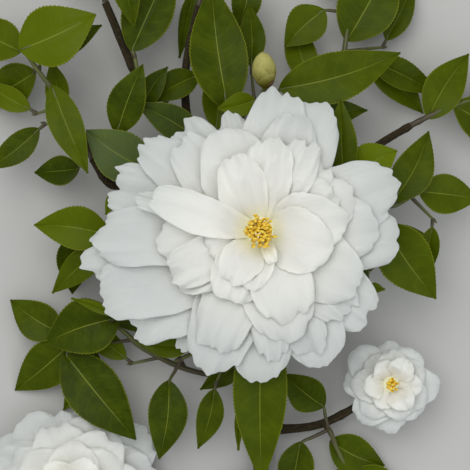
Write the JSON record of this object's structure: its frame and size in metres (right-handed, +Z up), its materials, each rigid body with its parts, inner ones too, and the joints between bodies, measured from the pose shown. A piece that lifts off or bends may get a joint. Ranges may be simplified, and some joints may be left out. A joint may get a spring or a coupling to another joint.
{
  "type": "cut flowering camellia branch",
  "caption": "Cut leafy camellia branch lying flat, with a large white double bloom facing up, smaller side blooms and a bud.",
  "frame": {"origin": "middle of the branch's bounding box, at the level it lies on", "axes": "+Z up, the way the main bloom faces; +Y from the cut end towards the twig ends; +X to the right seen from above"},
  "size_m": [0.1716, 0.2158, 0.0475],
  "materials": {
    "bark": "dark brown bark, matt and finely ridged",
    "leaf": "glossy dark green leaf, paler below",
    "petal": "soft white petal, creamy towards the heart",
    "bud": "closed bud scales, cream at the tip and olive below"
  },
  "bodies": {
    "root": {"main_stem": "bark", "bough_top": "bark", "bough_left": "bark", "bough_right": "bark", "bough_second": "bark", "bough_lower_right": "bark", "bloom_stalk": "bark", "spray_top_left": "leaf", "spray_upper_left": "leaf", "spray_left": "leaf", "spray_bloom_left": "leaf", "spray_top": "leaf", "spray_crown": "leaf", "spray_upper_right": "leaf", "spray_right": "leaf", "spray_bloom_right": "leaf", "spray_lower": "leaf", "spray_lower_left": "leaf", "spray_lower_right": "leaf", "bud": "bud", "bloom_main": "petal", "bloom_second": "petal", "bloom_right": "petal"}
  },
  "joints": []
}
